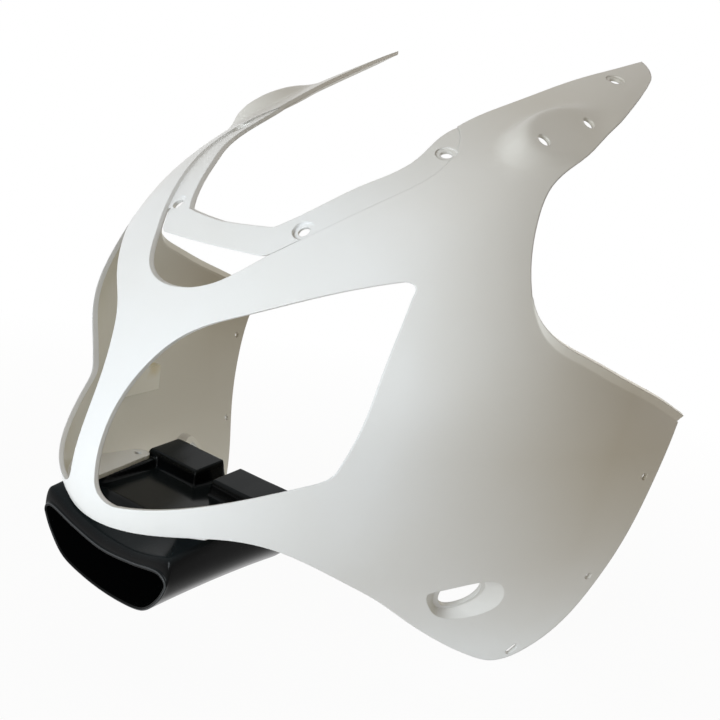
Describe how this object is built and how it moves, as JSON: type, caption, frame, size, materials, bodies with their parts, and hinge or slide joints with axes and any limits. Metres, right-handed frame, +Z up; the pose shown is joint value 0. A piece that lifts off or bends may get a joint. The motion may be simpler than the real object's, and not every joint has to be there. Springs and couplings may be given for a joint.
{
  "type": "motorbike front fairing",
  "caption": "Unpainted moulded nose fairing for a sport motorbike, with lamp openings, screen ledge, mirror pads, side panels and a black ram-air duct under the chin.",
  "frame": {"origin": "midway between the seats of the two front screen screws", "axes": "+X to the rider's left, +Y to the rear of the motorbike, +Z up"},
  "size_m": [0.4458, 0.3788, 0.4377],
  "materials": {
    "shell_plastic": "smooth unpainted moulding with a satin sheen",
    "duct_plastic": "black, glossy",
    "bracket_plastic": "pale moulding bonded in place"
  },
  "bodies": {
    "root": {"nose_shell": "shell_plastic", "ram_air_duct": "duct_plastic", "lamp_bracket_left": "bracket_plastic", "lamp_bracket_right": "bracket_plastic"}
  },
  "joints": []
}
